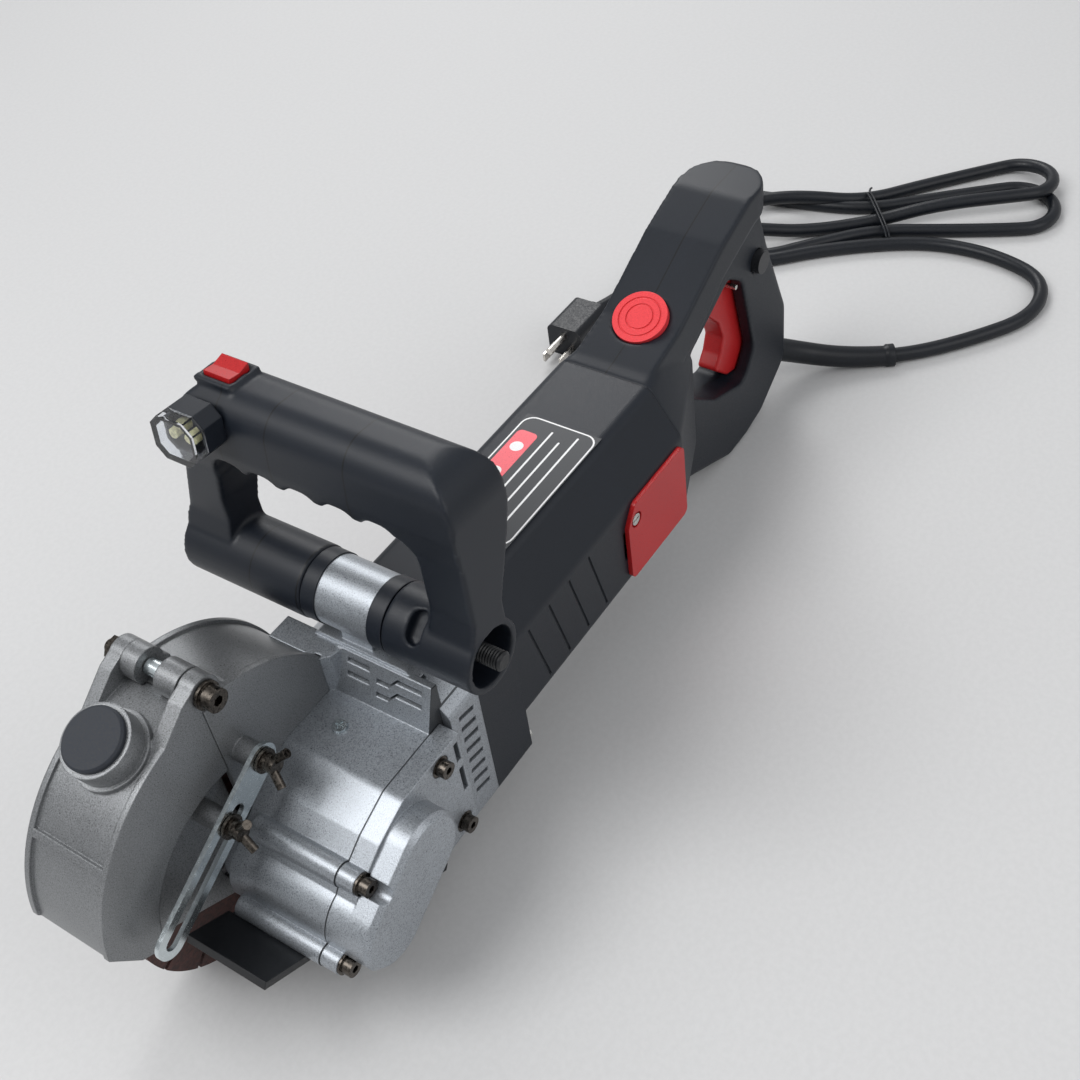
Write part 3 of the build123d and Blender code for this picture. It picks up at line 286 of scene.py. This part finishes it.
def softened(name, nodes, material, body, voxel=0.0014, rounds=6, factor=0.5):
    """A moulded shell: the CAD shape with its edges rounded and one smooth skin."""
    mesh = bpy.data.meshes.new(name)
    shape = bmesh.new()
    for node in nodes:
        shape.from_mesh(frame["nodes"][node].data)
    bmesh.ops.remove_doubles(shape, verts=shape.verts, dist=1e-6)
    shape.to_mesh(mesh)
    shape.free()
    piece = bpy.data.objects.new(name, mesh)
    bpy.context.scene.collection.objects.link(piece)
    remesh = piece.modifiers.new("skin", "REMESH")
    remesh.mode = "VOXEL"
    remesh.voxel_size = voxel
    smooth = piece.modifiers.new("soften", "SMOOTH")
    smooth.factor = factor
    smooth.iterations = rounds
    bpy.context.view_layer.update()
    apply_modifiers(piece)
    piece.data.materials.clear()
    piece.data.materials.append(material)
    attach(piece, body)
    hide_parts(*nodes)
    return piece


# ---- mains cord ----
CORD_ROUTE = [(470, -21, -58), (490, -33, -72), (507, -60, -80.5), (531, -95, CORD_Z), (564, -126, CORD_Z),
              (604, -154, CORD_Z), (645, -147, CORD_Z), (659, -107, CORD_Z), (657, -66, CORD_Z),
              (642, -32, CORD_Z)]
LEAD_ROUTE = [(592, 95, CORD_Z), (579, 110, CORD_Z), (560, 116, CORD_Z), (537, 112, CORD_Z),
              (507, 105, -80), (478, 113, -77)]
HANK_CENTRE = Vector((669, -7))
HANK_ANGLE = math.radians(-52.1)
HUMP = 2 * CORD_R + 0.3


def hank_point(along, across, lift=0.0):
    c, s = math.cos(HANK_ANGLE), math.sin(HANK_ANGLE)
    return (HANK_CENTRE.x + along * c - across * s, HANK_CENTRE.y + along * s + across * c, CORD_Z + lift)


LOOP_HALF_STEPS = 4
LOOP_STEP = math.radians(24)
LOOP_MOUTH = 46

# One end loop of the hank: side, reach, centre across, radius, lifts on the way in, round and out,
# and where the strand crosses the tie afterwards.
HANK_LOOPS = [
    (-1, 126, 6, 43, (0, 0, 0), 9),
    (1, 130, -16, 27, (0, 0, 0), -19),
    (-1, 108, -2, 29, (0, 0, HUMP), 20),
    (1, 137, 12, 27, (0, HUMP * 0.6, HUMP), -8),
]


def hank_points():
    """The folded turns: each end is most of a circle, and the strands meet at the tie."""
    points = []
    before = -30
    for side, reach, centre, radius, lifts, tie in HANK_LOOPS:
        reach_in = side * radius
        lift_in, lift_round, lift_out = lifts
        points.append(hank_point(side * LOOP_MOUTH, (before + centre + reach_in) / 2, lift_in))
        for step in range(-LOOP_HALF_STEPS, LOOP_HALF_STEPS + 1):
            angle = step * LOOP_STEP
            along = side * (reach - radius + radius * math.cos(angle))
            across = centre - reach_in * math.sin(angle)
            other = lift_in if step < 0 else lift_out
            lift = lift_round + (other - lift_round) * abs(step) / LOOP_HALF_STEPS
            points.append(hank_point(along, across, lift))
        points.append(hank_point(side * LOOP_MOUTH, (tie + centre - reach_in) / 2, lift_out))
        points.append(hank_point(0, tie))
        before = tie
    points.append(hank_point(-50, -8))
    points.append(hank_point(-84, -7, HUMP * 0.7))
    points.append(hank_point(-108, -4, HUMP))
    return points


def add_cord():
    route = CORD_ROUTE + hank_points() + LEAD_ROUTE
    curve = bpy.data.curves.new("mains_cord", "CURVE")
    curve.dimensions = "3D"
    spline = curve.splines.new("NURBS")
    spline.points.add(len(route) - 1)
    for point, (x, y, z) in zip(spline.points, route):
        point.co = (*place(x, y, z), 1)
        point.radius = CORD_R / 1000
    spline.order_u = 3
    spline.use_endpoint_u = True
    curve.resolution_u = 10
    curve.bevel_depth = 1.0
    curve.bevel_resolution = 6
    curve.use_fill_caps = True
    cord = bpy.data.objects.new("mains_cord", curve)
    bpy.context.scene.collection.objects.link(cord)
    curve.materials.append(MATERIALS["cord_rubber"])
    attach(cord, "tool_body")
    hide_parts("cord", "cord_hank", "plug_lead")
    return cord


def route_line(cord):
    """The cord's own line as points, read from its spline."""
    depth = cord.data.bevel_depth
    cord.data.bevel_depth = 0
    bpy.context.view_layer.update()
    line = bpy.data.meshes.new_from_object(cord.evaluated_get(bpy.context.evaluated_depsgraph_get()))
    points = [vertex.co.copy() for vertex in line.vertices]
    bpy.data.meshes.remove(line)
    cord.data.bevel_depth = depth
    return points


def tube_along(name, points, radius_at, sides=28):
    """A round skin along the points whose radius follows radius_at(distance)."""
    def build(shape):
        rings = []
        distance = 0.0
        normal = Vector((0, 0, 1))
        for index, point in enumerate(points):
            ahead = points[min(index + 1, len(points) - 1)] - points[max(index - 1, 0)]
            tangent = ahead.normalized()
            side = tangent.cross(normal).normalized()
            up = side.cross(tangent).normalized()
            if index:
                distance += (point - points[index - 1]).length
            ring = []
            for step in range(sides):
                angle = 2 * math.pi * step / sides
                offset = side * math.cos(angle) + up * math.sin(angle)
                ring.append(shape.verts.new(point + offset * radius_at(distance)))
            rings.append(ring)
        for low, high in zip(rings, rings[1:]):
            for step in range(sides):
                shape.faces.new((low[step], low[(step + 1) % sides], high[(step + 1) % sides], high[step]))
        shape.faces.new(rings[0])
        shape.faces.new(reversed(rings[-1]))
    return mesh_from(name, build)


def resample(points, spacing):
    """Evenly spaced points along a line."""
    result = [points[0]]
    carried = 0.0
    for a, b in zip(points, points[1:]):
        run = (b - a).length
        while carried + run >= spacing:
            step = spacing - carried
            a = a + (b - a) * (step / run)
            run -= step
            carried = 0.0
            result.append(a.copy())
        carried += run
    return result


SLEEVE_LENGTH = 0.094
SLEEVE_STEP = 0.0012
SLEEVE_ROOT_R = 0.0078
SLEEVE_TAPER = 0.0012
SLEEVE_COLLAR_R = 0.0082
SLEEVE_RING_R = 0.0076
SLEEVE_END_SHARE = 0.06


def sleeve_radius(distance):
    """A slow taper with a root collar and a raised ring at the free end."""
    share = distance / SLEEVE_LENGTH
    if share < SLEEVE_END_SHARE:
        return SLEEVE_COLLAR_R
    if share > 1 - SLEEVE_END_SHARE:
        return SLEEVE_RING_R
    return SLEEVE_ROOT_R - SLEEVE_TAPER * share


def add_sleeve(line):
    points = resample(line, SLEEVE_STEP)
    count = int(SLEEVE_LENGTH / SLEEVE_STEP)
    mesh = tube_along("strain_relief", points[: count + 1], sleeve_radius)
    for vertex in mesh.vertices:
        vertex.co.z = max(vertex.co.z, 0.0)
    sleeve = link("strain_relief", mesh, MATERIALS["cord_rubber"], "tool_body")
    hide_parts("cord_sleeve")
    return sleeve


TIE_TURNS, TIE_STEPS = 2, 16
TIE_ALONG, TIE_PITCH, TIE_LEAD = 2.0, 2.2, 0.12
TIE_CENTRE, TIE_HALF, TIE_HEIGHT = -6, 30.0, 12.5
TIE_WIRE_LOW = 0.6
TIE_WIRE_R = 0.0008


def squared(value):
    """Rounds a sine wave towards a square one, so that the wire lies flat over the strands."""
    return math.copysign(abs(value) ** 0.6, value)


def tie_point(along, across, height):
    x, y, _ = hank_point(along, across)
    return (x, y, FLOOR_Z + height)


def add_tie():
    """Two close turns of thin wire drawn round the strands, with a twisted end."""
    curve = bpy.data.curves.new("cord_wire_tie", "CURVE")
    curve.dimensions = "3D"
    spline = curve.splines.new("NURBS")
    outline = []
    for turn in range(TIE_TURNS):
        for step in range(TIE_STEPS):
            angle = 2 * math.pi * (step + 0.5) / TIE_STEPS
            across = TIE_CENTRE + TIE_HALF * squared(math.cos(angle))
            lift = TIE_WIRE_LOW + TIE_HEIGHT * (0.5 + 0.5 * squared(math.sin(angle)))
            along = TIE_ALONG + turn * TIE_PITCH + step * TIE_LEAD
            outline.append(tie_point(along, across, lift))
    outline += [tie_point(6, 30, 8), tie_point(9, 34, 6)]
    spline.points.add(len(outline) - 1)
    for point, (x, y, z) in zip(spline.points, outline):
        point.co = (*place(x, y, z), 1)
        point.radius = TIE_WIRE_R
    spline.order_u = 3
    spline.use_endpoint_u = True
    curve.bevel_depth = 1.0
    tie = bpy.data.objects.new("cord_wire_tie", curve)
    bpy.context.scene.collection.objects.link(tie)
    curve.materials.append(MATERIALS["cord_rubber"])
    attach(tie, "tool_body")
    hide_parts("cord_tie")
    return tie


cord = add_cord()
cord_line = route_line(cord)
sleeve = add_sleeve(cord_line)
tie = add_tie()


# ---- moulded handles ----
rear_handle = softened("rear_handle", ["rear_handle_near", "rear_handle_far"], REAR_BLACK, "tool_body",
                       voxel=0.0011, rounds=6)
front_handle = softened("front_handle", ["aux_handle"], FRONT_BLACK, "aux_handle",
                        voxel=0.0010, rounds=5)
squeeze_trigger = softened("squeeze_trigger", ["trigger"], MATERIALS["red_plastic"], "trigger",
                           voxel=0.0007, rounds=6)


# ---- label ----
LABEL_X0, LABEL_X1, LABEL_Y0, LABEL_Y1, LABEL_TOP = 160.0, 247.0, -47.0, -2.0, 52.5
BORDER_INSET, FIELD_INSET = 0.6, 1.5
BORDER_RADIUS, FIELD_RADIUS, BAND_RADIUS = 7, 6.2, 3
BAND_WIDTH, BAND_EDGE, BAND_END = 12, 3, 12
DISC_RADIUS, DISC_INSETS = 3.6, (24, 44)
RULE_SHARES = (0.92, 0.86, 0.94)
RULE_FIRST, RULE_PITCH, RULE_WIDTH = 20.5, 7.2, 1.1
INK = 0.05


def flat_patch(name, outline, top, thickness, material):
    """A thin printed shape that lies on the flat top of the motor housing."""
    def build(shape):
        low = [shape.verts.new(place(x, y, top)) for x, y in outline]
        high = [shape.verts.new(place(x, y, top + thickness)) for x, y in outline]
        shape.faces.new(high)
        shape.faces.new(reversed(low))
        count = len(outline)
        for index in range(count):
            after = (index + 1) % count
            shape.faces.new((low[index], low[after], high[after], high[index]))
    piece = link(name, mesh_from(name, build), material, "tool_body")
    for polygon in piece.data.polygons:
        polygon.use_smooth = False
    return piece


def rounded_box(x0, x1, y0, y1, radius, steps=6):
    corners = [(x1 - radius, y1 - radius, 0), (x0 + radius, y1 - radius, 90),
               (x0 + radius, y0 + radius, 180), (x1 - radius, y0 + radius, 270)]
    points = []
    for x, y, start in corners:
        for step in range(steps + 1):
            angle = math.radians(start + 90 * step / steps)
            points.append((x + radius * math.cos(angle), y + radius * math.sin(angle)))
    return points


def circle(x, y, radius, steps=28):
    turns = [2 * math.pi * step / steps for step in range(steps)]
    return [(x + radius * math.cos(turn), y + radius * math.sin(turn)) for turn in turns]


def add_label():
    """A black label with a grey rounded border, a red band, two blank discs and ruled lines."""
    x0, x1, y0, y1, top = LABEL_X0, LABEL_X1, LABEL_Y0, LABEL_Y1, LABEL_TOP
    border = rounded_box(x0 + BORDER_INSET, x1 - BORDER_INSET, y0 + BORDER_INSET, y1 - BORDER_INSET,
                         BORDER_RADIUS)
    field = rounded_box(x0 + FIELD_INSET, x1 - FIELD_INSET, y0 + FIELD_INSET, y1 - FIELD_INSET, FIELD_RADIUS)
    band = rounded_box(x0 + BAND_EDGE, x1 - BAND_END, y1 - BAND_EDGE - BAND_WIDTH, y1 - BAND_EDGE, BAND_RADIUS)
    flat_patch("label_border", border, top, 0.06, WHITE_INK)
    flat_patch("label_field", field, top + 0.06, INK, MATERIALS["label"])
    flat_patch("label_band", band, top + 0.11, INK, RED_INK)
    for inset in DISC_INSETS:
        x = x1 - inset
        disc = circle(x, y1 - BAND_EDGE - BAND_WIDTH / 2, DISC_RADIUS)
        flat_patch(f"label_disc_{x:.0f}", disc, top + 0.16, 0.04, WHITE_INK)
    run = x1 - x0
    for row, share in enumerate(RULE_SHARES):
        y = y1 - RULE_FIRST - row * RULE_PITCH
        rule = rounded_box(x0 + 0.04 * run, x0 + share * run, y, y + RULE_WIDTH, 0.5)
        flat_patch(f"label_rule_{row}", rule, top + 0.11, 0.04, WHITE_INK)


add_label()


# ---- turned pieces and small parts ----
def lathe(name, profile, x, z, material, body, steps=40):
    """A turned piece about an axis along Y through (x, z); profile is (y, radius) pairs."""
    def build(shape):
        rings = []
        for y, radius in profile:
            ring = []
            for step in range(steps):
                angle = 2 * math.pi * step / steps
                point = place(x + radius * math.cos(angle), y, z + radius * math.sin(angle))
                ring.append(shape.verts.new(point))
            rings.append(ring)
        for low, high in zip(rings, rings[1:]):
            for step in range(steps):
                after = (step + 1) % steps
                shape.faces.new((low[step], low[after], high[after], high[step]))
        shape.faces.new(rings[0])
        shape.faces.new(reversed(rings[-1]))
    piece = link(name, mesh_from(name, build), material, body)
    piece.data.set_sharp_from_angle(angle=math.radians(35))
    return piece


STUD_X, STUD_Z = 94, 67
THREAD_START, THREAD_END, THREAD_PITCH = -92.6, -74.5, 1.4
THREAD_CREST_R, THREAD_ROOT_R = 4.75, 4.1
HINGE_X, HINGE_Z = 8, 88


def add_stud():
    """The handle's clamping stud with its threaded near end."""
    profile = [(-94, 3.6), (-93.2, 4.7)]
    y = THREAD_START
    while y < THREAD_END:
        profile += [(y, THREAD_CREST_R), (y + THREAD_PITCH / 2, THREAD_ROOT_R)]
        y += THREAD_PITCH
    profile += [(-74, 4.8), (-73, 5.0), (76, 5.0)]
    stud = lathe("threaded_stud", profile, STUD_X, STUD_Z, MATERIALS["black_steel"], "tool_body")
    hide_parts("clamp_stud")


add_stud()
lathe("hinge_sleeve", [(16.6, 3.1), (16.7, 4.0), (26.3, 4.0), (26.4, 3.1)], HINGE_X, HINGE_Z,
      MATERIALS["zinc_plate"], "tool_body")


# ---- stage ----
def add_floor():
    mesh = bpy.data.meshes.new("floor")
    shape = bmesh.new()
    bmesh.ops.create_grid(shape, x_segments=1, y_segments=1, size=6)
    shape.to_mesh(mesh)
    shape.free()
    floor = bpy.data.objects.new("floor", mesh)
    bpy.context.scene.collection.objects.link(floor)
    mesh.materials.append(finish("floor_paint", (0.62, 0.62, 0.62), roughness=0.8, grain=300, contrast=0.02,
                                 bump=0.05, edge=0.0))


def add_area(name, location, target, size, power):
    light = bpy.data.lights.new(name, "AREA")
    light.shape = "DISK"
    light.size = size
    light.energy = power
    lamp = bpy.data.objects.new(name, light)
    lamp.location = location
    direction = Vector(target) - Vector(location)
    lamp.rotation_euler = direction.to_track_quat("-Z", "Y").to_euler()
    bpy.context.scene.collection.objects.link(lamp)


def add_world():
    world = bpy.data.worlds.new("studio")
    bpy.context.scene.world = world
    world.use_nodes = True
    world.node_tree.nodes["Background"].inputs["Color"].default_value = (0.88, 0.89, 0.91, 1)
    world.node_tree.nodes["Background"].inputs["Strength"].default_value = 0.56


CAMERA_AT = (-203.6, -372.6, 546.3)
CAMERA_RIGHT = Vector((0.54639, -0.83004, -0.11173))
CAMERA_DOWN = Vector((-0.63932, -0.32718, -0.69586))
CAMERA_AHEAD = Vector((0.54104, 0.45165, -0.70943))


def add_camera():
    data = bpy.data.cameras.new("camera")
    data.sensor_width = 36
    data.lens = 36 * 1469.7 / 1080
    data.clip_start = 0.01
    camera = bpy.data.objects.new("camera", data)
    columns = (CAMERA_RIGHT, -CAMERA_DOWN, -CAMERA_AHEAD)
    turn = Matrix([[column[row] for column in columns] for row in range(3)])
    camera.matrix_world = Matrix.Translation(place(*CAMERA_AT)) @ turn.to_4x4()
    bpy.context.scene.collection.objects.link(camera)
    bpy.context.scene.camera = camera


add_floor()
add_world()
add_area("key", (-0.9, 0.5, 1.6), (0, 0, 0.05), 1.1, 19)
add_area("fill", (0.2, -1.4, 1.1), (0, 0, 0.05), 1.4, 6.5)
add_area("rim", (1.3, 0.9, 1.2), (0.1, 0, 0.05), 0.8, 9)
add_camera()
bpy.context.scene.view_settings.view_transform = "Standard"
